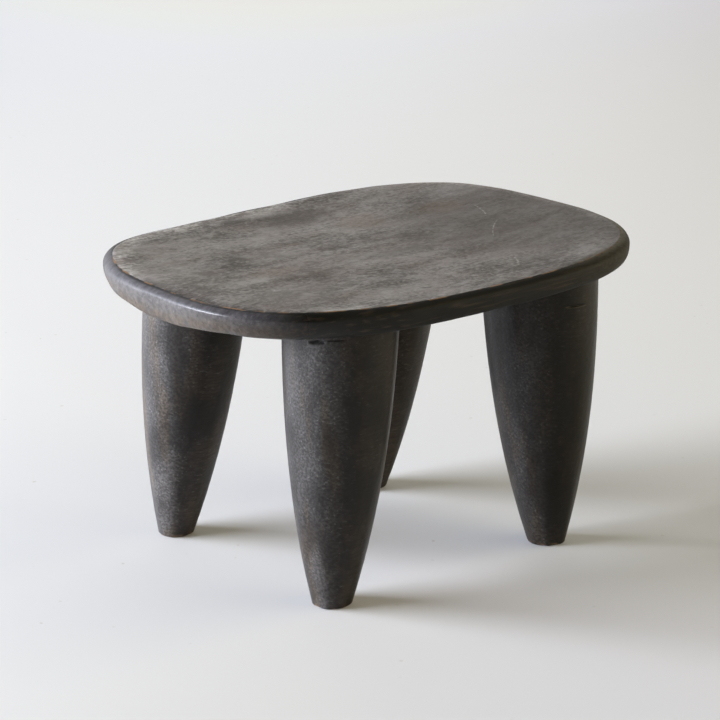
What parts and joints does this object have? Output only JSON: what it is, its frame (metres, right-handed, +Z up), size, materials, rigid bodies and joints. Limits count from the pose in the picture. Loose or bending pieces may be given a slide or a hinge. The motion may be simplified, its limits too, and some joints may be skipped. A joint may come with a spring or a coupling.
{
  "type": "senufo stool",
  "caption": "Low carved wooden stool with a rounded, slightly hollowed seat, a rolled rim and stout tapering legs.",
  "frame": {"origin": "on the ground, under the middle of the stool's bounding box", "axes": "+X along the seat's length towards its wider end, +Y across it towards the rear legs, +Z up"},
  "size_m": [0.56, 0.4336, 0.3445],
  "materials": {
    "seat_wood": "blackened hardwood, worn matt and grey-brown on top, satin on the rim",
    "leg_wood": "blackened hardwood, satin, with pale pores on the end grain"
  },
  "bodies": {
    "root": {"seat": "seat_wood", "leg_front_left": "leg_wood", "leg_front_right": "leg_wood", "leg_rear_left": "leg_wood", "leg_rear_right": "leg_wood"}
  },
  "joints": []
}
